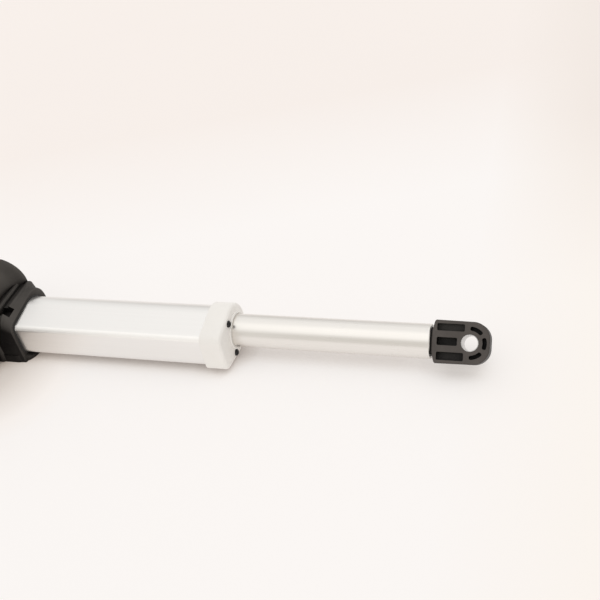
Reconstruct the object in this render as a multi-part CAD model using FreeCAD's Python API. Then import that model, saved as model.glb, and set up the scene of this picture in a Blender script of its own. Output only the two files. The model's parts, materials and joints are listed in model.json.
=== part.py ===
import FreeCAD, Part
import math
import os

# Bed linear actuator, lying on its side as it rests on a table.
# Frame: X runs along the spindle towards the rod end, -Y is the flat side of
# the extruded tube, +Z is up. Origin: centre of the rear eye's bore.
# Rest state: rod run out, as drawn in the reference view. Units: mm.

V = FreeCAD.Vector
os.makedirs("parts", exist_ok=True)

# ---------------------------------------------------------------- dimensions
floor_z = -23.4            # underside of the gear casing
taper = 10.0               # draft of the profile's two sides, degrees

tube_r, tube_h, tube_rc = 20.3, 30.3, 5.0      # back radius, flat distance, corner
tube_wall = 2.2
cap_over = 2.8             # how far the end cap stands outside the tube

x_casing0 = 16.0           # rear of the casing
x_tube0 = 92.0             # tube end inside the casing
x_collar = 116.9           # lip of the seal, where the tube comes out
x_snout0, x_snout1 = 107.5, 116.2   # crest and mouth of the casing's snout
seal_t = 1.4               # wall of the seal lip
x_cap0 = 295.0             # rear rim of the end cap
x_tube1 = 309.0            # tube end inside the cap
x_cap1 = 314.0             # front face of the cap
x_ring = 315.8             # raised ring round the rod
x_rod0, x_rod1 = 262.0, 480.0
rod_r, rod_ri = 14.0, 11.75
x_shoulder = 480.8         # rear shoulder of the rod eye
x_eye = 510.5              # centre of the rod eye's bore

screw_y, screw_z = -10.6, 16.1   # cap screws, both sides of the rod
boss_r = 3.2

pin_r = 6.1                # radius of both eye bores
bush_r = 6.6               # outside of the rod eye's thin bush
eye_r, eye_t = 17.0, 23.0  # rod eye: nose radius, thickness
eye_bow = 52.0             # radius of the eye's bowed rear shoulder
eye_core = 9.4             # depth of the moulded pockets, from each face
eye_roll = 45.0            # roll of the rod eye about X

gear_m, gear_n = 1.0, 32   # worm gear module and wheel teeth
worm_pr = 7.0              # worm pitch radius
wheel_pr = gear_m * gear_n / 2.0
mx = 63.0                  # motor axis: X
mz = worm_pr + wheel_pr    # motor axis: Z (centre distance 23)

spindle_r = 7.0
nut_clear = 0.06
body_clear = 0.4           # slider in the tube

y_front = -37.0            # casing face that carries the motor
y_back = 28.0


# ------------------------------------------------------------------- helpers
def cyl(r, p, d, h):
    return Part.makeCylinder(r, h, V(*p), V(*d))


def cyl_x(r, x0, x1, y=0.0, z=0.0):
    return cyl(r, (x0, y, z), (1, 0, 0), x1 - x0)


def cyl_y(r, y0, y1, x=mx, z=mz):
    return cyl(r, (x, y0, z), (0, 1, 0), y1 - y0)


def cyl_z(r, z0, z1, x=0.0, y=0.0):
    return cyl(r, (x, y, z0), (0, 0, 1), z1 - z0)


def box(x0, x1, y0, y1, z0, z1):
    return Part.makeBox(x1 - x0, y1 - y0, z1 - z0, V(x0, y0, z0))


def ring_x(ro, ri, x0, x1, y=0.0, z=0.0):
    return cyl_x(ro, x0, x1, y, z).cut(cyl_x(ri, x0 - 1, x1 + 1, y, z))


def ring_y(ro, ri, y0, y1, x=mx, z=mz):
    return cyl_y(ro, y0, y1, x, z).cut(cyl_y(ri, y0 - 1, y1 + 1, x, z))


def fuse(shapes):
    s = shapes[0]
    for t in shapes[1:]:
        s = s.fuse(t)
    return s.removeSplitter()


def corner(p, a, c, r):
    """Start, middle and end of a round of radius r at corner p."""
    ua = (a - p) * (1.0 / (a - p).Length)
    uc = (c - p) * (1.0 / (c - p).Length)
    th = ua.getAngle(uc)
    d = r / math.tan(th / 2)
    m = ua + uc
    m = m * (1.0 / m.Length)
    o = p + m * (r / math.sin(th / 2))
    return p + ua * d, o - m * r, p + uc * d


def outline(r, h, rc, x=0.0, back=0.0):
    """Closed wire of the tube profile: round back, two drafted sides, flat.

    back moves the round back outwards and keeps it tangent to the sides.
    """
    a = math.radians(taper)
    c = back / (1 + math.sin(a))
    rb = r + c * math.sin(a)
    t1 = V(x, c - rb * math.sin(a), rb * math.cos(a))
    t2 = V(x, c - rb * math.sin(a), -rb * math.cos(a))
    w = r / math.cos(a) - h * math.tan(a)
    back_y = c + rb
    b, c = V(x, -h, w), V(x, -h, -w)
    c0, cm, c1 = corner(c, t2, b, rc)
    b0, bm, b1 = corner(b, c, t1, rc)
    e = [Part.Arc(t1, V(x, back_y, 0), t2).toShape(),
         Part.LineSegment(t2, c0).toShape(),
         Part.Arc(c0, cm, c1).toShape(),
         Part.LineSegment(c1, b0).toShape(),
         Part.Arc(b0, bm, b1).toShape(),
         Part.LineSegment(b1, t1).toShape()]
    return Part.Wire(e)


def prism(off, x0, x1, rc=None):
    """Tube profile moved outwards by off, extruded from x0 to x1."""
    if rc is None:
        rc = max(0.6, tube_rc + off)
    f = Part.Face(outline(tube_r + off, tube_h + off, rc, x0))
    return f.extrude(V(x1 - x0, 0, 0))


def cone_prism(off0, x0, off1, x1):
    w0 = outline(tube_r + off0, tube_h + off0, tube_rc + off0, x0)
    w1 = outline(tube_r + off1, tube_h + off1, tube_rc + off1, x1)
    return Part.makeLoft([w0, w1], True, True)


def section(x, y0, y1, z1, slope, rf, rb):
    """Wire of the snout: upright walls at y0 and y1, top rising by slope, rounded."""
    zb = floor_z - 2.0
    a, b = V(x, y1, zb), V(x, y1, z1 + slope * y1)
    c, d = V(x, y0, z1 + slope * y0), V(x, y0, zb)
    b0, bm, b1 = corner(b, a, c, rb)
    c0, cm, c1 = corner(c, b, d, rf)
    return Part.Wire([Part.LineSegment(d, a).toShape(), Part.LineSegment(a, b0).toShape(),
                      Part.Arc(b0, bm, b1).toShape(), Part.LineSegment(b1, c0).toShape(),
                      Part.Arc(c0, cm, c1).toShape(), Part.LineSegment(c1, d).toShape()])


def sections(*rings):
    return Part.makeLoft([section(*r) for r in rings], True, True)


def rounded(shape, pick, r):
    """Fillet the edges that pick() chooses."""
    es = [e for e in shape.Edges if pick(e)]
    return shape.makeFillet(r, es)


def chamfered(shape, pick, r):
    es = [e for e in shape.Edges if pick(e)]
    return shape.makeChamfer(r, es)


def along(e, axis):
    """True for a straight edge along an axis."""
    if e.Curve.TypeId != "Part::GeomLine":
        return False
    d = e.Curve.Direction
    return abs(abs(getattr(d, axis)) - 1) < 1e-6


def in_plane(e, axis, value):
    bb = e.BoundBox
    return (abs(getattr(bb, axis + "Min") - value) < 1e-4 and
            abs(getattr(bb, axis + "Max") - value) < 1e-4)


def save(shape, name):
    shape.exportStep("parts/%s.step" % name)
    print("%-22s solids %d  vol %.0f  valid %s" % (
        name, len(shape.Solids), shape.Volume, shape.isValid()))


def save_all(shapes, name):
    save(Part.makeCompound(shapes) if len(shapes) > 1 else shapes[0], name)


# ------------------------------------------------------------------ the tube
inner = prism(-tube_wall, x_tube0 - 1, x_tube1 + 1)
bosses = [cyl_x(boss_r, x_tube0, x_tube1, screw_y, s * screw_z) for s in (1, -1)]
bores = [cyl_x(1.5, x_tube0 - 1, x_tube1 + 1, screw_y, s * screw_z) for s in (1, -1)]
outer_tube = prism(0, x_tube0, x_tube1)
outer_tube = outer_tube.cut(inner)
for b in bosses:
    outer_tube = outer_tube.fuse(b.common(prism(-0.4, x_tube0, x_tube1)))
for b in bores:
    outer_tube = outer_tube.cut(b)
save(outer_tube.removeSplitter(), "outer_tube")

# ------------------------------------------------------------------- end cap
end_cap = prism(cap_over, x_cap0, x_cap1)
end_cap = rounded(end_cap, lambda e: in_plane(e, "X", x_cap1), 2.6)
end_cap = rounded(end_cap, lambda e: in_plane(e, "X", x_cap0), 0.5)
ring = cyl_x(16.1, x_cap1 - 1, x_ring)
ring = rounded(ring, lambda e: in_plane(e, "X", x_ring), 0.5)
end_cap = end_cap.fuse(ring)
end_cap = end_cap.cut(prism(0, x_cap0 - 1, x_tube1))
end_cap = end_cap.cut(cyl_x(15.0, x_tube1 - 1, x_ring + 1))
for s in (1, -1):
    end_cap = end_cap.cut(cyl_x(1.5, x_tube1 - 1, x_cap1 + 1, screw_y, s * screw_z))
save(end_cap.removeSplitter(), "end_cap")

# pan-head screws of the cap, with a cross recess
cap_screws = []
for s in (1, -1):
    pts = [V(x_cap1, 0, 0), V(x_cap1, 2.9, 0), V(x_cap1 + 0.9, 2.9, 0)]
    head = Part.Wire([Part.LineSegment(pts[0], pts[1]).toShape(),
                      Part.LineSegment(pts[1], pts[2]).toShape(),
                      Part.Arc(pts[2], V(x_cap1 + 1.8, 1.9, 0), V(x_cap1 + 2.2, 0, 0)).toShape(),
                      Part.LineSegment(V(x_cap1 + 2.2, 0, 0), pts[0]).toShape()])
    head = Part.Face(head).revolve(V(0, 0, 0), V(1, 0, 0), 360)
    for ang in (0, 90):
        slot = box(x_cap1 + 1.0, x_cap1 + 3, -1.7, 1.7, -0.4, 0.4)
        slot.rotate(V(0, 0, 0), V(1, 0, 0), ang + 20)
        head = head.cut(slot)
    shank = cyl_x(1.5, x_cap0 + 2, x_cap1 + 0.2)
    scr = fuse([head, shank])
    scr.translate(V(0, screw_y, s * screw_z))
    cap_screws.append(scr)
save_all(cap_screws, "end_cap_screws")

# rod guide in the tube's mouth, and the wiper in the cap
guide = cyl_x(tube_r - tube_wall, 288, x_tube1).cut(cyl_x(rod_r + 0.05, 280, 320))
for s in (1, -1):
    guide = guide.cut(cyl_x(boss_r + 0.15, 280, 320, screw_y, s * screw_z))
save(guide, "rod_guide_bush")
wiper = cyl_x(15.0, x_tube1, x_ring - 0.2).cut(cyl_x(rod_r + 0.05, 300, 320))
save(wiper, "rod_wiper")

# limit switches on a long board at the tube's flat wall
yb = -(tube_h - tube_wall)
board = box(100, 285, yb, yb + 1.6, -9, 9)
save(board, "limit_switch_board")
sw = []
for xs in (106.0, 268.0):
    b = box(xs, xs + 13, yb + 1.6, yb + 5.6, -3, 3)
    b = b.fuse(box(xs + 4, xs + 6, yb + 5.6, yb + 6.2, -1.5, 1.5))
    sw.append(b.removeSplitter())
save_all(sw, "limit_switches")

# ------------------------------------------------------------ inner rod, nut
rod = cyl_x(rod_r, x_rod0, x_rod1)
rod = chamfered(rod, lambda e: in_plane(e, "X", x_rod1), 0.6)
rod = rod.cut(cyl_x(rod_ri, x_rod0 - 1, x_rod1 + 1))
rod = rod.cut(ring_x(12.6, 11, 466, 467.6))
pin_holes = [cyl_z(2.0, 8.5, 16, 272, 0), cyl_z(2.0, -16, -8.5, 272, 0)]
for h in pin_holes:
    rod = rod.cut(h)
save(rod, "inner_rod")

nut = Part.Face(outline(tube_r - tube_wall - body_clear, 21.0, 1.6, 246)).extrude(V(16, 0, 0))
for s in (1, -1):
    nut = nut.cut(cyl_x(boss_r + body_clear, 240, 270, screw_y, s * screw_z))
nut = nut.fuse(cyl_x(rod_ri, 261, 282)).removeSplitter()
nut = nut.cut(cyl_x(spindle_r + nut_clear, 240, 290))
for h in pin_holes:
    nut = nut.cut(h)
save(nut, "spindle_nut")
save_all([cyl_z(2.0, 8.5, 13.8, 272, 0), cyl_z(2.0, -13.8, -8.5, 272, 0)], "nut_pins")

snap = ring_x(12.6, 10.0, 466, 467.6).cut(box(465, 469, 8, 14, -1.6, 1.6))
save(snap, "rod_snap_ring")

# ------------------------------------------------------------------- rod eye
# drawn flat with its bore along local Z, then rolled and moved into place
half = eye_t / 2
dx = x_eye - x_shoulder
nose_x, nose_r = 15.1, 13.0  # end of the nose past the bore, and its corners
nose_w = 16.4              # half width at the nose, a little less than at the shoulder
side = [V(-dx, -eye_r, -half), V(nose_x, -nose_w, -half), V(nose_x, nose_w, -half), V(-dx, eye_r, -half)]
body = Part.Face(Part.makePolygon(side + side[:1])).extrude(V(0, 0, eye_t))
body = rounded(body, lambda e: along(e, "z") and e.BoundBox.XMin > nose_x - 1, nose_r)
body = body.common(Part.makeCylinder(eye_bow, eye_t + 2, V(eye_bow - dx, 0, -half - 1)))
body = rounded(body, lambda e: along(e, "z") and e.BoundBox.XMax < -dx + 6, 1.8)
body = rounded(body, lambda e: in_plane(e, "Z", half) or in_plane(e, "Z", -half), 1.2)


def slot_block(x0, x1, y0, y1, deep, r=1.0):
    b = box(x0, x1, y0, y1, half - deep, half + 1)
    b = rounded(b, lambda e: along(e, "z"), r)
    return b


def sector(r0, r1, a0, a1):
    """Annular pocket between two radii and two angles."""
    p = Part.makeCylinder(r1, eye_core + 1, V(0, 0, half - eye_core), V(0, 0, 1), a1 - a0)
    p = p.cut(Part.makeCylinder(r0, eye_core + 3, V(0, 0, half - eye_core - 1)))
    p.rotate(V(0, 0, 0), V(0, 0, 1), a0)
    return p


pockets = [slot_block(-25.3, -4.2, 8.6, 14.2, 4.6),
           slot_block(-25.3, -9.7, -2.7, 3.5, eye_core),
           slot_block(-25.3, -4.6, -14.2, -7.9, 6.6)]
for a0, a1 in ((39, 90), (-23, 23), (-91, -40)):
    pockets.append(rounded(sector(9.6, 12.8, a0, a1), lambda e: along(e, "z"), 1.3))
for p in pockets:
    body = body.cut(p)
    q = p.mirror(V(0, 0, 0), V(0, 0, 1))
    body = body.cut(q)
stem = Part.makeCylinder(11.4, 23.6, V(455.0 - x_eye, 0, 0), V(1, 0, 0))
stem = stem.fuse(Part.makeCylinder(10.0, 10.0, V(474.0 - x_eye, 0, 0), V(1, 0, 0)))
groove = Part.makeCylinder(14, 2.2, V(465.7 - x_eye, 0, 0), V(1, 0, 0))
groove = groove.cut(Part.makeCylinder(9.5, 4, V(465 - x_eye, 0, 0), V(1, 0, 0)))
body = body.fuse(stem.cut(groove)).removeSplitter()
body = body.cut(Part.makeCylinder(bush_r, 60, V(0, 0, -30)))
eye_place = FreeCAD.Placement(V(x_eye, 0, 0), FreeCAD.Rotation(V(1, 0, 0), eye_roll))
body.Placement = eye_place
save(body, "rod_eye")
bush = Part.makeCylinder(bush_r, eye_t + 0.4, V(0, 0, -half - 0.2))
bush = bush.cut(Part.makeCylinder(pin_r, 60, V(0, 0, -30)))
bush = chamfered(bush, lambda e: abs(abs(e.BoundBox.ZMin) - half - 0.2) < 1e-3 and
                 e.Curve.TypeId == "Part::GeomCircle" and abs(e.Curve.Radius - pin_r) < 1e-3, 0.2)
bush.Placement = eye_place
save(bush, "rod_eye_bush")

# ------------------------------------------------------------------- spindle
spindle = fuse([cyl_x(6, 29, 54), cyl_x(8, 54, 88.5), cyl_x(10, 72, 76),
                cyl_x(spindle_r, 88.5, 290), cyl_x(5, 290, 297)])
spindle = spindle.cut(ring_x(6, 4.2, 295, 296.2))
key = box(57, 69, -2, 2, 6.0, 9.6)
spindle = spindle.cut(key)
spindle = chamfered(spindle, lambda e: in_plane(e, "X", 297) or in_plane(e, "X", 29), 0.6)
save(spindle, "spindle")
save(key, "wheel_key")

ring = cyl_x(16.9, 56, 70)
t = math.tan(math.radians(22.8))
tan_lead = (gear_m * math.pi / (2 * math.pi)) / worm_pr
cuts = []
for k in range(gear_n):
    def gp(z):
        return 0.875 + (z - wheel_pr) * t
    y0 = 9 * tan_lead
    z0, z1 = 14.6, 17.6
    w = Part.makePolygon([V(54, y0 - gp(z0), z0), V(54, y0 + gp(z0), z0),
                          V(54, y0 + gp(z1), z1), V(54, y0 - gp(z1), z1),
                          V(54, y0 - gp(z0), z0)])
    g = Part.Face(w).extrude(V(18, -18 * tan_lead, 0))
    g.rotate(V(0, 0, 0), V(1, 0, 0), 360.0 * k / gear_n)
    cuts.append(g)
wheel = ring.cut(Part.makeCompound(cuts))
wheel = wheel.fuse(cyl_x(13, 54, 72)).removeSplitter()
wheel = wheel.cut(cyl_x(8, 50, 80)).cut(key)
save(wheel, "worm_wheel")

save(ring_x(10, 6, 36.3, 54), "spindle_spacer")
disc = ring_x(11.35, 5, 290, 295)
for k in range(4):
    a = math.radians(45 + 90 * k)
    disc = disc.cut(cyl_x(1.6, 289, 296, 8 * math.cos(a), 8 * math.sin(a)))
save(disc, "spindle_end_guide")
save(ring_x(6.6, 4.2, 295, 296.2).cut(box(294, 298, 3, 9, -1.2, 1.2)), "spindle_circlip")
save(ring_x(14, 6.5, 28, 36), "thrust_bearing")
brg = ring_x(15, 8.05, 76.4, 88)
for x0, x1 in ((76.4, 77.0), (87.4, 88.0)):
    brg = brg.cut(ring_x(13.2, 9.8, x0 - (1 if x0 < 80 else 0), x1 + (1 if x0 > 80 else 0)))
save(brg, "spindle_bearing")

# ------------------------------------------------------------------ rear eye
eye = fuse([cyl_z(15, -12, 12), box(0, 22.5, -10, 10, -10, 10), box(22, 28, -14, 14, -14, 14)])
eye = rounded(eye, lambda e: e.Curve.TypeId == "Part::GeomCircle" and
              abs(abs(e.BoundBox.ZMin) - 12) < 1e-3 and abs(e.BoundBox.ZLength) < 1e-3, 1.5)
eye = eye.cut(cyl_z(8, -20, 20))
save(eye, "rear_eye")
rb = cyl_z(8, -12.2, 12.2).cut(cyl_z(pin_r, -20, 20))
save(rb, "rear_eye_bush")

# -------------------------------------------------------------- gear casing
block = box(x_casing0, 97, y_front, y_back, floor_z, 27)
block = rounded(block, lambda e: along(e, "z") and e.BoundBox.YMax > 0, 13.0)
block = rounded(block, lambda e: along(e, "z") and e.BoundBox.YMax < 0, 5.0)
block = rounded(block, lambda e: in_plane(e, "Z", 27), 7.0)
block = rounded(block, lambda e: in_plane(e, "Z", floor_z), 2.0)
barrel = cyl_y(28.6, y_front, y_back)
barrel = rounded(barrel, lambda e: in_plane(e, "Y", y_back), 12.0)
barrel = rounded(barrel, lambda e: in_plane(e, "Y", y_front), 2.0)
above = box(-50, 200, -90, 90, floor_z, 90)


# hump over the gear: slices across Y, the front swinging out at the back
def slice_y(y, less, swing):
    top = hump_top - less
    xs, xm, xe = 77.0 + swing - less, 87.9 + swing - 0.75 * less, 93.6 + swing - less
    p = [V(mx, y, 10), V(mx, y, top), V(xs, y, top), V(xm, y, 43.0 - 0.75 * less), V(xe, y, 26), V(xe, y, 10)]
    return Part.Wire([Part.LineSegment(p[0], p[1]).toShape(), Part.LineSegment(p[1], p[2]).toShape(),
                      Part.Arc(p[2], p[3], p[4]).toShape(), Part.LineSegment(p[4], p[5]).toShape(),
                      Part.LineSegment(p[5], p[0]).toShape()])


hump_top = 52.2
hump = Part.makeLoft([slice_y(*v) for v in (
    (-16.0, 3.6, 0.0), (-14.8, 1.2, 0.0), (-12.0, 0.0, 0.0), (-2.0, 0.0, 0.3), (6.0, 0.0, 1.6), (12.0, 0.0, 4.6),
    (17.0, 0.0, 9.0), (20.8, 1.0, 12.4), (23.6, 4.0, 14.8), (24.7, 7.6, 15.8))], True, False)

# snout round the tube: rib, groove and a crest that falls to the mouth
full = (-34.5, 25.0, 26.5, 0.018, 11.0, 6.5)
draft = math.tan(math.radians(9.2))
snout = sections((88.0,) + full, (x_snout0,) + full)
snout = snout.fuse(sections((x_snout0,) + full,
                            (x_snout0 + 2.8, -34.45, 24.7, 25.4, 0.06, 10.2, 16.0),
                            (x_snout1 - 0.9, -34.3, 24.6, 23.3, draft * 0.93, 8.6, 16.2),
                            (x_snout1, -33.6, 24.0, 22.9, draft, 8.0, 17.0)))
snout = snout.fuse(sections((97.2, -34.5, 25.1, 26.6, 0.018, 11.0, 6.6), (98.2, -34.5, 26.0, 28.5, 0.018, 11.6, 7.2),
                            (99.8, -34.5, 26.0, 28.5, 0.018, 11.6, 7.2), (100.8, -34.5, 25.1, 26.6, 0.018, 11.0, 6.6)))
groove = box(101.2, 106.4, -33.9, 60, -60, 60)
groove = groove.cut(sections((101.0, -34.5, 23.6, 24.6, 0.018, 11.0, 6.0), (107.0, -34.5, 23.6, 24.6, 0.018, 11.0, 6.0)))
snout = snout.cut(groove)
# window beside the front corner
snout = snout.cut(box(100.9, 112.0, -24.7, -14.6, 12, 60).cut(prism(1.0, 99, 119)))
# foot under the mouth, falling to the front
foot_pts = [V(91, 0, floor_z), V(122.3, 0, floor_z), V(122.3, 0, -21.4), V(113.5, 0, -15.2), V(91, 0, -15.2), V(91, 0, floor_z)]
foot = Part.Face(Part.makePolygon(foot_pts)).extrude(V(0, 60, 0))
foot.translate(V(0, -40, 0))
plan = box(90, 122.3, -35.1, 14, floor_z - 1, 0)
foot = foot.common(rounded(plan, lambda e: along(e, "z") and e.BoundBox.XMax > 120 and e.BoundBox.YMax < 0, 15.0))
snout = snout.fuse(foot).common(above)
casing = block.multiFuse([barrel, hump, snout]).removeSplitter()
# slit along the parting line, up to the snout's crest
plain = block.multiFuse([barrel, box(88, 130, full[0], full[1], -10, 10)]).removeSplitter()
skin = sorted(plain.slice(V(0, 0, 1), 0.0), key=lambda w: w.BoundBox.DiagonalLength)[-1]
core = Part.Face(skin).makeOffset2D(-0.6).extrude(V(0, 0, 2))
core.translate(V(0, 0, -1))
rim = box(-50, x_snout0 - 0.3, -90, 90, -0.25, 0.25).cut(core)
# cavities
cav = [prism(0, x_tube0, 130),
       prism(seal_t, 112, 130),
       cyl_x(9, 87, 93),
       cyl_x(15, 76.4, 88),
       cyl_x(11, 36, 77),
       cyl_x(18.4, 53, 73),
       cyl_x(14, 28, 36),
       box(22, 28, -14, 14, -14, 14),
       box(10, 22.5, -10, 10, -10, 10),
       cyl_y(9.2, y_front - 1, 15),
       cyl_y(7, 14, 24)]
for c in cav:
    casing = casing.cut(c)
scr_xy = [(25, -29), (25, 20), (88.5, -31), (88.5, 20.5)]
for x, y in scr_xy:
    casing = casing.cut(cyl_z(2.25, floor_z - 1, 14, x, y))
    casing = casing.cut(cyl_z(4.6, floor_z - 1, -17.5, x, y))
bolt_xz = [(45.0, -17.2), (81.0, -17.2)]
for x, z in bolt_xz:
    casing = casing.cut(cyl_y(2.0, y_front - 1, -22, x, z))
# shallow groove along the parting line
casing = casing.cut(rim)
lower = casing.common(box(-50, 200, -90, 90, floor_z - 5, 0))
upper = casing.common(box(-50, 200, -90, 90, 0, 90))
save(lower, "casing_lower")
save(upper, "casing_upper")

scr = []
for x, y in scr_xy:
    s = fuse([cyl_z(4.0, -21.5, -17.5, x, y), cyl_z(2.2, -18, 13.5, x, y)])
    hexa = Part.makePolygon([V(x + 2.0 * math.cos(math.radians(60 * k)),
                               y + 2.0 * math.sin(math.radians(60 * k)), -22) for k in range(7)])
    s = s.cut(Part.Face(hexa).extrude(V(0, 0, 2.6)))
    scr.append(s)
save_all(scr, "casing_screws")

seal = prism(seal_t, 112, x_collar)
seal = chamfered(seal, lambda e: in_plane(e, "X", x_collar), 0.6).cut(prism(0, 110, 122))
save(seal, "tube_seal")

# --------------------------------------------------------------------- motor
can = cyl_y(22, -126, -42)
can = rounded(can, lambda e: in_plane(e, "Y", -42), 2.5)
can = can.cut(cyl_y(20, -127, -44))
can = can.fuse(cyl_y(9.2, -43, -34)).cut(cyl_y(6, -46, -30))
save(can.removeSplitter(), "motor_can")
save(ring_y(6, 3.05, -44, -34), "motor_front_bush")
mags = []
for a in (25, 205):
    m = Part.makeCylinder(20, 60, V(0, 0, 0), V(0, 0, 1), 130)
    m = m.cut(Part.makeCylinder(16.7, 62, V(0, 0, -1)))
    m.rotate(V(0, 0, 0), V(0, 0, 1), a)
    m.rotate(V(0, 0, 0), V(1, 0, 0), -90)
    m.translate(V(mx, -110, mz))
    mags.append(m)
save_all(mags, "motor_magnets")

core = ring_y(15.8, 3, -105, -55)
for k in range(10):
    s = box(mx - 1.0, mx + 1.0, -106, -54, mz + 9, mz + 17)
    s.rotate(V(mx, 0, mz), V(0, 1, 0), 36 * k)
    core = core.cut(s)
save(core, "armature_core")
wind = []
for y0, y1 in ((-55, -49), (-111, -105)):
    w = ring_y(14, 5, y0, y1)
    w = rounded(w, lambda e: e.Curve.TypeId == "Part::GeomCircle" and e.Curve.Radius > 10, 1.8)
    wind.append(w)
save_all(wind, "armature_windings")
com = ring_y(7, 3, -122, -112)
for k in range(10):
    s = box(mx - 0.25, mx + 0.25, -123, -113, mz + 5.6, mz + 8)
    s.rotate(V(mx, 0, mz), V(0, 1, 0), 36 * k)
    com = com.cut(s)
save(com, "commutator")
holder = ring_y(20, 8.0, -121.5, -113.5)
for s in (1, -1):
    holder = holder.cut(box(mx + min(s * 6, s * 16), mx + max(s * 6, s * 16), -120, -115, mz - 2.5, mz + 2.5))
save(holder, "brush_holder")
save_all([box(mx + min(s * 7.4, s * 15.9), mx + max(s * 7.4, s * 15.9), -120, -115, mz - 2.5, mz + 2.5)
          for s in (1, -1)], "carbon_brushes")
bell = cyl_y(22, -130, -126).fuse(cyl_y(20, -126.5, -123.5)).cut(cyl_y(6, -131, -120))
save(bell.removeSplitter(), "motor_end_bell")
save(ring_y(6, 3.05, -130, -123.5), "motor_rear_bush")
save(cyl_y(3, -131, 23), "motor_shaft")
save(ring_y(7, 3.05, 15.5, 24), "worm_end_bush")
save(ring_y(21, 9.2, -42, y_front), "motor_front_cushion")
save(ring_y(21, 12, -135.5, -130), "motor_rear_cushion")

# worm: a right-hand thread on a sleeve
p = math.pi * gear_m
helix = Part.makeHelix(p, 24.0, worm_pr)
tf = math.tan(math.radians(20))


def wp(r):
    return 0.60 - (r - worm_pr) * tf


prof = Part.makePolygon([V(5.3, 0, -wp(5.3)), V(8.0, 0, -wp(8.0)), V(8.0, 0, wp(8.0)),
                         V(5.3, 0, wp(5.3)), V(5.3, 0, -wp(5.3))])
thread = Part.Wire(helix.Edges).makePipeShell([prof], True, True)
thread.rotate(V(0, 0, 0), V(1, 0, 0), -90)
thread.translate(V(mx, -p / 4 - 3 * p, mz))
worm = thread.fuse(cyl_y(5.7, -14, 15)).cut(cyl_y(3, -20, 20))
save(worm, "worm")

# --------------------------------------------------------------- motor cover


def cover_solid(o, y0, y1):
    r = 27.0 + o
    lo = box(mx - r, mx + r, y0, y1, floor_z - o if o < 0 else floor_z, mz)
    lo = rounded(lo, lambda e: along(e, "y") and e.BoundBox.ZMax < 0, 8.0 + min(o, 0))
    return fuse([lo, cyl_y(r, y0, y1)])


cover = cover_solid(0, -141, y_front)
cover = rounded(cover, lambda e: in_plane(e, "Y", -141), 5.0)
flange = cover_solid(1.6, -44, y_front)
cover = cover.fuse(flange).removeSplitter()
cav = cover_solid(-2.5, -138, y_front + 1)
for x, z in bolt_xz:
    cav = cav.cut(cyl_y(5.6, -139, -131, x, z))
for x0 in (52.0, 70.0):
    cav = cav.cut(box(x0, x0 + 4, -139, -44, floor_z, -14.4))
cav = cav.cut(ring_y(25, 22, -139, -131))
cover = cover.cut(cav)
for x, z in bolt_xz:
    cover = cover.cut(cyl_y(2.0, -150, -120, x, z))
    cover = cover.cut(cyl_y(4.4, -150, -136.5, x, z))
sock_y, sock_z = -96.0, -4.0
cover = cover.cut(cyl_x(8.0, 30, 44, sock_y, sock_z))
# shallow ribs along the top of the cover
for k in range(5):
    a = math.radians(90 + (k - 2) * 22)
    rib = cyl_y(1.1, -130, -50, mx + 27.0 * math.cos(a), mz + 27.0 * math.sin(a))
    cover = cover.cut(rib)
save(cover.removeSplitter(), "motor_cover")
bolts = []
for x, z in bolt_xz:
    b = fuse([cyl_y(3.9, -140.5, -136.5, x, z), cyl_y(2.0, -137, -22.5, x, z)])
    hexa = Part.makePolygon([V(x + 2.0 * math.cos(math.radians(60 * k)), -141,
                               z + 2.0 * math.sin(math.radians(60 * k))) for k in range(7)])
    b = b.cut(Part.Face(hexa).extrude(V(0, 2.8, 0)))
    bolts.append(b)
save_all(bolts, "cover_bolts")

# connection board under the motor, and the lead's socket in the cover
pcb = box(44, 84, -128, -46, -14.4, -12.8)
save(pcb, "connection_board")
save_all([box(64, 80, -84, -73, -12.8, -2.8), box(64, 80, -70, -59, -12.8, -2.8)], "board_relays")
cap = cyl_y(4.5, -124, -106, 74, -8.3)
save(cap, "board_capacitor")
sock = fuse([cyl_x(8.0, 36, 52, sock_y, sock_z), cyl_x(10.0, 34.0, 36, sock_y, sock_z)])
sock = sock.cut(cyl_x(5.6, 30, 46, sock_y, sock_z))
pins = []
for k in range(5):
    a = math.radians(90 + (k - 2) * 50)
    py, pz = sock_y + 3.2 * math.cos(a), sock_z + 3.2 * math.sin(a)
    sock = sock.cut(cyl_x(0.5, 45, 50, py, pz))
    pins.append(cyl_x(0.5, 40, 50, py, pz))
sock = sock.cut(box(33, 46, sock_y - 1.2, sock_y + 1.2, sock_z - 6.6, sock_z))
save(sock, "lead_socket")
save_all(pins, "socket_contacts")
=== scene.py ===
import bpy
import json
import math
from mathutils import Matrix, Vector

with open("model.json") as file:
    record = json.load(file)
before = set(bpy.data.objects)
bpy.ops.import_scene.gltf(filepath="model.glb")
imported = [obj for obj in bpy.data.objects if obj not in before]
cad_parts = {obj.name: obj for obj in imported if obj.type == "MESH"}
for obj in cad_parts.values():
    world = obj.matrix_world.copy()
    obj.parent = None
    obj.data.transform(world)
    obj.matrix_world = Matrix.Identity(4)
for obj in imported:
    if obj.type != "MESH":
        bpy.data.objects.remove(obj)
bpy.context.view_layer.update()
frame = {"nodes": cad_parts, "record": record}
nodes = frame["nodes"]
scene = bpy.context.scene
scene.view_settings.view_transform = "Standard"
scene.view_settings.look = "None"

FLOOR_Z = -0.0234


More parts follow.
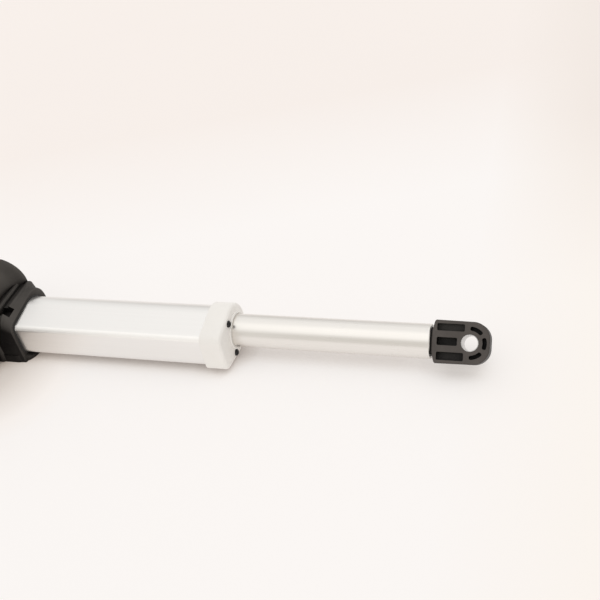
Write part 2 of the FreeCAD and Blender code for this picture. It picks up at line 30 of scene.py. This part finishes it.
# --------------------------------------------------------------------- camera
right = Vector((0.9544, 0.25245, -0.15933))
down = Vector((0.04393, -0.64667, -0.76151))
ahead = Vector((-0.29528, 0.71978, -0.62827))
cam_data = bpy.data.cameras.new("camera")
cam_data.sensor_width = 36.0
cam_data.lens = 49.356
cam_data.clip_start = 0.01
cam_data.clip_end = 50.0
cam = bpy.data.objects.new("camera", cam_data)
scene.collection.objects.link(cam)
m = Matrix.Identity(4)
for i in range(3):
    m[i][0] = right[i]
    m[i][1] = -down[i]
    m[i][2] = -ahead[i]
m[0][3], m[1][3], m[2][3] = 0.57098, -0.47268, 0.44954
cam.matrix_world = m
scene.camera = cam


# ----------------------------------------------------------- material builder
class Mat:
    """A procedural material: one Principled shader and its texture nodes."""

    def __init__(self, name):
        self.m = bpy.data.materials.new(name)
        self.m.use_nodes = True
        self.t = self.m.node_tree
        self.b = self.t.nodes["Principled BSDF"]
        coords = self.t.nodes.new("ShaderNodeTexCoord")
        self.co = coords.outputs["Object"]
        self.facing = coords.outputs["Normal"]
        self.heights = []
        self.round = None

    def link(self, a, b):
        self.t.links.new(a, b)

    def put(self, **values):
        for k, v in values.items():
            self.b.inputs[k.replace("_", " ")].default_value = v
        return self

    def mapped(self, scale=(1, 1, 1), rot=(0, 0, 0)):
        n = self.t.nodes.new("ShaderNodeMapping")
        n.inputs["Scale"].default_value = scale
        n.inputs["Rotation"].default_value = rot
        self.link(self.co, n.inputs["Vector"])
        return n.outputs["Vector"]

    def noise(self, scale, detail=2.0, rough=0.5, vec=None):
        n = self.t.nodes.new("ShaderNodeTexNoise")
        n.inputs["Scale"].default_value = scale
        n.inputs["Detail"].default_value = detail
        n.inputs["Roughness"].default_value = rough
        self.link(vec or self.co, n.inputs["Vector"])
        return n.outputs["Fac"]

    def cells(self, scale, vec=None, feature="F1", out="Distance"):
        n = self.t.nodes.new("ShaderNodeTexVoronoi")
        n.feature = feature
        n.inputs["Scale"].default_value = scale
        self.link(vec or self.co, n.inputs["Vector"])
        return n.outputs[out]

    def remap(self, fac, a, b, c, d):
        n = self.t.nodes.new("ShaderNodeMapRange")
        n.inputs["From Min"].default_value = a
        n.inputs["From Max"].default_value = b
        n.inputs["To Min"].default_value = c
        n.inputs["To Max"].default_value = d
        self.link(fac, n.inputs["Value"])
        return n.outputs["Result"]

    def tint(self, fac, *stops):
        """Colour ramp: stops are (position, (r, g, b))."""
        n = self.t.nodes.new("ShaderNodeValToRGB")
        e = n.color_ramp.elements
        while len(e) < len(stops):
            e.new(0.5)
        for i, (p, c) in enumerate(stops):
            e[i].position = p
            e[i].color = (c[0], c[1], c[2], 1.0)
        self.link(fac, n.inputs["Fac"])
        return n.outputs["Color"]

    def mix(self, fac, a, b, how="MIX"):
        """Colour mix: a and b are sockets or plain colours."""
        n = self.t.nodes.new("ShaderNodeMix")
        n.data_type = "RGBA"
        n.blend_type = how
        self.link(fac, n.inputs[0])
        for s, v in ((n.inputs[6], a), (n.inputs[7], b)):
            if isinstance(v, tuple):
                s.default_value = (v[0], v[1], v[2], 1.0)
            else:
                self.link(v, s)
        return n.outputs[2]

    def times(self, a, b):
        n = self.t.nodes.new("ShaderNodeMath")
        n.operation = "MULTIPLY"
        self.link(a, n.inputs[0])
        self.link(b, n.inputs[1])
        return n.outputs[0]

    def edges(self, radius, lo=0.80, hi=0.985):
        """1 along sharp edges, 0 on flats."""
        bev = self.t.nodes.new("ShaderNodeBevel")
        bev.samples = 4
        bev.inputs["Radius"].default_value = radius
        geo = self.t.nodes.new("ShaderNodeNewGeometry")
        dot = self.t.nodes.new("ShaderNodeVectorMath")
        dot.operation = "DOT_PRODUCT"
        self.link(bev.outputs["Normal"], dot.inputs[0])
        self.link(geo.outputs["Normal"], dot.inputs[1])
        return self.remap(dot.outputs["Value"], lo, hi, 1.0, 0.0)

    def air(self, reach):
        """0 deep in a pocket, 1 on an open face."""
        n = self.t.nodes.new("ShaderNodeAmbientOcclusion")
        n.samples = 6
        n.inputs["Distance"].default_value = reach
        return n.outputs["AO"]

    def rounding(self, radius):
        """Edges catch light as if they had this small radius."""
        bev = self.t.nodes.new("ShaderNodeBevel")
        bev.samples = 4
        bev.inputs["Radius"].default_value = radius
        self.round = bev.outputs["Normal"]

    def relief(self, height, depth, strength=1.0):
        self.heights.append((height, depth, strength))

    def colour(self, socket):
        self.link(socket, self.b.inputs["Base Color"])

    def rough(self, socket):
        self.link(socket, self.b.inputs["Roughness"])

    def done(self):
        last = self.round
        for h, depth, strength in self.heights:
            n = self.t.nodes.new("ShaderNodeBump")
            n.inputs["Strength"].default_value = strength
            n.inputs["Distance"].default_value = depth
            self.link(h, n.inputs["Height"])
            if last is not None:
                self.link(last, n.inputs["Normal"])
            last = n.outputs["Normal"]
        if last is not None:
            self.link(last, self.b.inputs["Normal"])
        return self.m


def plastic(name, dark, light, rough=(0.42, 0.56), grain=1500.0, depth=0.00005, worn=(0.11, 0.105, 0.10),
            wear=0.5, spec=0.5, edge=0.0005, dust_and_painted_light=None, light_side=(0.0, 0.0, 1.0)):
    """Moulded plastic with an eroded grain, faint flow marks and rubbed edges.

    dust is the colour painted on the faces that look along lie: painted light that makes those faces read as lit from
    that side, broken by a faint dust-like noise; pockets are kept out of it and stay dark as painted shade.
    """
    k = Mat(name)
    flow = k.noise(38.0, 4.0, 0.55)
    base = k.tint(flow, (0.35, dark), (0.68, light))
    # painted light: faces turned along lie are painted paler, and the ambient-occlusion term keeps pockets out of it
    # as painted shade
    if dust_and_painted_light:
        face = k.t.nodes.new("ShaderNodeVectorMath")
        face.operation = "DOT_PRODUCT"
        face.inputs[1].default_value = Vector(light_side).normalized()
        k.link(k.facing, face.inputs[0])
        lit_faces = k.times(k.remap(face.outputs["Value"], 0.05, 0.95, 0.0, 1.0), k.remap(k.air(0.012), 0.35, 0.85, 0.0, 1.0))
        base = k.mix(k.times(lit_faces, k.remap(k.noise(55.0, 4.0, 0.6), 0.25, 0.7, 0.7, 1.0)), base, dust_and_painted_light)
    rub = k.times(k.edges(edge), k.remap(k.noise(160.0, 3.0, 0.6), 0.42, 0.62, 0.1, wear))
    k.colour(k.mix(rub, base, worn))
    k.rough(k.remap(k.noise(90.0, 5.0, 0.6), 0.3, 0.7, rough[0], rough[1]))
    k.rounding(edge)
    k.relief(k.noise(30.0, 2.0), 0.0006, 0.12)
    k.relief(k.noise(grain, 3.0, 0.6), depth, 0.55)
    k.put(Specular_IOR_Level=spec)
    return k.done()


def drawn_metal(name, a, b, rough, lines=900.0, depth=0.00002, smudge=0.05, edge=0.0003, highlight_facing=None):
    """Metal with fine lines along X, faint smudges and small nicks.

    ridge is the direction faced by the corner that is painted paler as a painted highlight, with raised roughness
    there.
    """
    k = Mat(name)
    run = k.mapped((5.0, lines, lines))
    fine = k.mapped((18.0, lines * 4, lines * 4))
    streak = k.noise(1.0, 4.0, 0.6, run)
    base = k.tint(streak, (0.3, a), (0.7, b))
    cloud = k.noise(26.0, 4.0, 0.55)
    s = k.t.nodes.new("ShaderNodeMath")
    s.operation = "ADD"
    k.link(k.remap(streak, 0.25, 0.75, rough[0], rough[1]), s.inputs[0])
    k.link(k.remap(cloud, 0.35, 0.7, 0.0, smudge), s.inputs[1])
    grain = s.outputs[0]
    if highlight_facing:
        face = k.t.nodes.new("ShaderNodeVectorMath")
        face.operation = "DOT_PRODUCT"
        face.inputs[1].default_value = Vector(highlight_facing).normalized()
        k.link(k.facing, face.inputs[0])
        # painted highlight: corner faces turned along ridge are painted paler and rougher, standing in for a
        # reflection
        painted_highlight = k.remap(face.outputs["Value"], 0.84, 0.93, 0.0, 1.0)
        base = k.mix(painted_highlight, base, (1.0, 0.988, 0.968))
        r = k.t.nodes.new("ShaderNodeMath")
        r.operation = "ADD"
        k.link(grain, r.inputs[0])
        k.link(k.remap(face.outputs["Value"], 0.84, 0.93, 0.0, 0.28), r.inputs[1])
        grain = r.outputs[0]
    k.colour(base)
    k.rough(grain)
    k.rounding(edge)
    k.relief(k.noise(1.0, 3.0, 0.6, fine), depth, 0.12)
    k.put(Metallic=1.0)
    return k.done()


def turned_metal(name, a, b, rough, axis="Z", rot=(0, 0, 0), pitch=2600.0, metallic=1.0):
    """Metal with turning marks across an axis."""
    k = Mat(name)
    sc = {"X": (pitch, 40.0, 40.0), "Y": (40.0, pitch, 40.0), "Z": (40.0, 40.0, pitch)}[axis]
    ring = k.noise(1.0, 3.0, 0.6, k.mapped(sc, rot))
    k.colour(k.tint(ring, (0.3, a), (0.7, b)))
    cloud = k.noise(60.0, 4.0, 0.6)
    s = k.t.nodes.new("ShaderNodeMath")
    s.operation = "ADD"
    k.link(k.remap(ring, 0.25, 0.75, rough[0], rough[1]), s.inputs[0])
    k.link(k.remap(cloud, 0.35, 0.7, 0.0, 0.08), s.inputs[1])
    k.rough(s.outputs[0])
    k.rounding(0.0002)
    k.relief(ring, 0.00002, 0.4)
    k.put(Metallic=metallic)
    return k.done()


def speckled(name, a, b, rough, scale, metallic=0.0, depth=0.00004):
    """Pressed or sintered material with a granular face."""
    k = Mat(name)
    grit = k.noise(scale, 4.0, 0.65)
    spots = k.cells(scale * 0.6)
    k.colour(k.tint(k.times(grit, k.remap(spots, 0.0, 0.7, 0.6, 1.25)), (0.2, a), (0.75, b)))
    k.rough(k.remap(grit, 0.3, 0.7, rough[0], rough[1]))
    k.rounding(0.0002)
    k.relief(grit, depth, 0.5)
    k.put(Metallic=metallic)
    return k.done()


def wound_copper(name):
    """Enamelled wire laid in coils."""
    k = Mat(name)
    w = k.t.nodes.new("ShaderNodeTexWave")
    w.wave_type = "RINGS"
    w.rings_direction = "Y"
    w.inputs["Scale"].default_value = 420.0
    w.inputs["Distortion"].default_value = 1.4
    w.inputs["Detail"].default_value = 2.0
    mp = k.t.nodes.new("ShaderNodeMapping")
    mp.inputs["Location"].default_value = (-0.063, 0.0, -0.023)
    k.link(k.co, mp.inputs["Vector"])
    k.link(mp.outputs["Vector"], w.inputs["Vector"])
    k.colour(k.tint(w.outputs["Fac"], (0.15, (0.25, 0.09, 0.035)), (0.7, (0.72, 0.33, 0.15))))
    k.rough(k.remap(k.noise(300.0), 0.3, 0.7, 0.25, 0.42))
    k.relief(w.outputs["Fac"], 0.0003, 0.8)
    k.put(Metallic=0.85)
    return k.done()


def circuit_board(name):
    """Lacquered board: tracks under green lacquer, with a dull weave."""
    k = Mat(name)
    br = k.t.nodes.new("ShaderNodeTexBrick")
    br.inputs["Scale"].default_value = 60.0
    br.inputs["Mortar Size"].default_value = 0.06
    br.inputs["Color1"].default_value = (0.020, 0.115, 0.050, 1)
    br.inputs["Color2"].default_value = (0.026, 0.135, 0.060, 1)
    br.inputs["Mortar"].default_value = (0.040, 0.190, 0.085, 1)
    k.link(k.co, br.inputs["Vector"])
    k.colour(k.mix(k.remap(k.noise(45.0, 3.0), 0.35, 0.65, 0.0, 0.5), br.outputs["Color"], (0.018, 0.10, 0.045)))
    k.rough(k.remap(k.noise(140.0), 0.3, 0.7, 0.22, 0.36))
    k.relief(br.outputs["Fac"], 0.00006, 0.4)
    k.relief(k.noise(1300.0, 2.0), 0.00002, 0.3)
    k.put(Coat_Weight=0.3, Coat_Roughness=0.12)
    return k.done()


def rubber(name):
    k = Mat(name)
    dust_and_painted_light = k.noise(75.0, 5.0, 0.6)
    k.colour(k.tint(dust_and_painted_light, (0.35, (0.016, 0.015, 0.015)), (0.72, (0.034, 0.032, 0.030))))
    k.rough(k.remap(dust_and_painted_light, 0.3, 0.7, 0.55, 0.74))
    k.rounding(0.0005)
    k.relief(k.noise(1100.0, 4.0, 0.65), 0.00005, 0.5)
    k.put(Specular_IOR_Level=0.4)
    return k.done()


MAT = {
    # painted light: the dust colour on casing_black and eye_black paints the faces turned along lie paler, as if lit
    "casing_black": plastic("casing_black", (0.0062, 0.0054, 0.0052), (0.0090, 0.0079, 0.0075), spec=0.10,
                            rough=(0.46, 0.60), worn=(0.060, 0.054, 0.050), dust_and_painted_light=(0.094, 0.086, 0.079), light_side=(0.88, -0.05, 0.47)),
    "eye_black": plastic("eye_black", (0.016, 0.0145, 0.0135), (0.022, 0.020, 0.0185), rough=(0.40, 0.54),
                         grain=1900.0, worn=(0.12, 0.11, 0.103), wear=0.6, spec=0.2,
                         dust_and_painted_light=(0.098, 0.086, 0.079), light_side=(0.0, -1.0, 1.0)),
    "board_part": plastic("board_part", (0.022, 0.022, 0.024), (0.034, 0.034, 0.037), rough=(0.35, 0.48), wear=0.2),
    "screw_black": turned_metal("screw_black", (0.014, 0.014, 0.015), (0.030, 0.029, 0.029), (0.34, 0.46), metallic=0.6),
    "rubber_black": rubber("rubber_black"),
    # the tube's ridge corner gets a painted highlight
    "tube_aluminium": drawn_metal("tube_aluminium", (0.866, 0.853, 0.836), (0.887, 0.874, 0.856), (0.27, 0.33),
                                  highlight_facing=(0.0, -0.79, 0.61)),
    "cap_white": plastic("cap_white", (0.905, 0.882, 0.848), (0.930, 0.907, 0.873), rough=(0.40, 0.52), grain=1200.0,
                         depth=0.00003, worn=(0.90, 0.885, 0.865), wear=0.3),
    "board_green": circuit_board("board_green"),
    "bush_steel": turned_metal("bush_steel", (0.56, 0.555, 0.55), (0.70, 0.695, 0.69), (0.20, 0.32)),
    "motor_steel": speckled("motor_steel", (0.42, 0.42, 0.41), (0.58, 0.575, 0.56), (0.26, 0.40), 260.0, metallic=1.0,
                            depth=0.00001),
    "ferrite": speckled("ferrite", (0.045, 0.046, 0.050), (0.13, 0.13, 0.135), (0.5, 0.66), 1400.0),
    "bronze": speckled("bronze", (0.42, 0.27, 0.11), (0.66, 0.46, 0.22), (0.32, 0.46), 1600.0, metallic=1.0),
    "carbon": speckled("carbon", (0.018, 0.018, 0.019), (0.075, 0.073, 0.072), (0.42, 0.6), 1800.0),
    "copper": wound_copper("copper"),
    "gear_plastic": plastic("gear_plastic", (0.76, 0.735, 0.66), (0.82, 0.80, 0.73), rough=(0.34, 0.46),
                            worn=(0.88, 0.86, 0.80), wear=0.3),
    "rod_satin": drawn_metal("rod_satin", (0.822, 0.798, 0.764), (0.847, 0.823, 0.788), (0.25, 0.31), lines=1300.0,
                             smudge=0.04),
}
slots = {s["node"]: s["material_slot"] for s in frame["record"]["subparts"]}
for name, ob in nodes.items():
    mat = MAT[slots[name]]
    ob.data.materials.clear()
    ob.data.materials.append(mat)
    ob.data.polygons.foreach_set("use_smooth", [True] * len(ob.data.polygons))
    ob.data.set_sharp_from_angle(angle=math.radians(24.0))


# ---------------------------------------------------------------------- floor
def sheet_mesh(name, size, z, cx, cy):
    me = bpy.data.meshes.new(name)
    h = size / 2
    me.from_pydata([(cx - h, cy - h, z), (cx + h, cy - h, z), (cx + h, cy + h, z), (cx - h, cy + h, z)], [], [(0, 1, 2, 3)])
    ob = bpy.data.objects.new(name, me)
    scene.collection.objects.link(ob)
    return ob


floor = sheet_mesh("floor", 14.0, FLOOR_Z - 0.00005, 0.3, 0.4)
k = Mat("floor_pale")


def along_floor(direction, start, end):
    """0 before start and 1 past end, measured along a direction on the floor."""
    n = k.t.nodes.new("ShaderNodeVectorMath")
    n.operation = "DOT_PRODUCT"
    n.inputs[1].default_value = direction
    k.link(k.co, n.inputs[0])
    return k.remap(n.outputs["Value"], start, end, 0.0, 1.0)


# floor tone with painted shade and light: darker and browner towards the far side, warmer along the right as if
# side-lit, darkest in the far right corner
cloud = k.noise(3.0, 3.0)
near = k.tint(cloud, (0.3, (0.281, 0.281, 0.288)), (0.7, (0.287, 0.287, 0.294)))
near = k.mix(along_floor((1, 0, 0), 0.50, 0.61), near, (0.284, 0.264, 0.239))
far = k.tint(cloud, (0.3, (0.242, 0.206, 0.188)), (0.7, (0.248, 0.212, 0.194)))
tone = k.mix(along_floor((-0.35, 0.94, 0.0), 0.08, 0.34), near, far)
corner_shade = k.times(along_floor((1, 0, 0), 0.50, 0.60), along_floor((0, 1, 0), 0.10, 0.42))
k.colour(k.mix(corner_shade, tone, (0.205, 0.165, 0.140)))
# painted contact shadow: the floor's glow is darkened and warmed where parts come close, by ambient occlusion
glow = k.tint(k.air(0.017), (0.10, (0.24, 0.20, 0.175)), (0.32, (0.63, 0.545, 0.48)), (0.55, (0.945, 0.872, 0.812)),
              (0.76, (1.0, 0.954, 0.918)))
# painted shadow: a soft, darker and warmer patch on the floor in the nook beside the casing and motor
shadow_patch = k.t.nodes.new("ShaderNodeVectorMath")
shadow_patch.operation = "DISTANCE"
shadow_patch.inputs[1].default_value = (0.095, -0.055, FLOOR_Z)
k.link(k.co, shadow_patch.inputs[0])
shade = k.remap(shadow_patch.outputs["Value"], 0.015, 0.062, 0.78, 1.0)
glow = k.mix(k.remap(shadow_patch.outputs["Value"], 0.015, 0.085, 1.0, 0.0), glow, (1.0, 0.93, 0.86), "MULTIPLY")
# painted light: the painted contact shadow is lifted partway towards the rod-eye end
open_end = k.remap(along_floor((1, 0, 0), 0.45, 0.485), 0.0, 1.0, 0.0, 0.4)
k.link(k.mix(open_end, glow, (1.0, 0.954, 0.918)), k.b.inputs["Emission Color"])
# painted shade: the glow's strength drops near tall parts, by wider ambient occlusion, and in the painted shadow
# patch
k.link(k.times(shade, k.remap(k.air(0.07), 0.22, 0.60, 0.50, 0.6925)), k.b.inputs["Emission Strength"])
k.put(Roughness=0.7, Specular_IOR_Level=0.1)
floor.data.materials.append(k.done())


# --------------------------------------------------------------------- lights
world = bpy.data.worlds.new("studio")
world.use_nodes = True
scene.world = world
wt = world.node_tree
bg = wt.nodes["Background"]
ray = wt.nodes.new("ShaderNodeTexCoord").outputs["Generated"]


def toward(direction, start, end):
    """0 away from a direction of the room, 1 towards it."""
    d = wt.nodes.new("ShaderNodeVectorMath")
    d.operation = "DOT_PRODUCT"
    wt.links.new(ray, d.inputs[0])
    d.inputs[1].default_value = Vector(direction).normalized()
    n = wt.nodes.new("ShaderNodeMapRange")
    n.interpolation_type = "SMOOTHSTEP"
    n.inputs["From Min"].default_value = start
    n.inputs["From Max"].default_value = end
    wt.links.new(d.outputs["Value"], n.inputs["Value"])
    return n.outputs["Result"]


def blend_in(fac, under, colour):
    n = wt.nodes.new("ShaderNodeMix")
    n.data_type = "RGBA"
    wt.links.new(fac, n.inputs[0])
    if isinstance(under, tuple):
        n.inputs[6].default_value = (*under, 1)
    else:
        wt.links.new(under, n.inputs[6])
    n.inputs[7].default_value = (*colour, 1)
    return n.outputs[2]


# a white tent: brighter overhead, darker at the right, low at the back and on the near side
tent = (0.935, 0.925, 0.910)
c = blend_in(toward((1.0, -0.15, 0.1), 0.2, 0.95), tent, (0.64, 0.625, 0.605))
c = blend_in(toward((-0.3, 0.95, 0.02), 0.86, 0.99), c, (0.70, 0.685, 0.665))
c = blend_in(toward((0.05, -0.96, 0.27), 0.70, 0.98), c, (0.73, 0.702, 0.660))
c = blend_in(toward((-0.1, -0.36, 0.93), 0.80, 0.985), c, (1.22, 1.20, 1.17))
wt.links.new(c, bg.inputs["Color"])
bg.inputs["Strength"].default_value = 1.0


def area(name, at, look, w, h, power, colour):
    d = bpy.data.lights.new(name, "AREA")
    d.shape = "RECTANGLE"
    d.size, d.size_y = w, h
    d.energy = power
    d.color = colour
    ob = bpy.data.objects.new(name, d)
    scene.collection.objects.link(ob)
    ob.location = at
    v = Vector(look) - Vector(at)
    ob.rotation_euler = v.to_track_quat("-Z", "Y").to_euler()
    return ob


area("key", (0.20, 0.55, 1.55), (0.28, 0.02, 0.0), 2.2, 1.5, 1.0, (1.0, 0.985, 0.965))
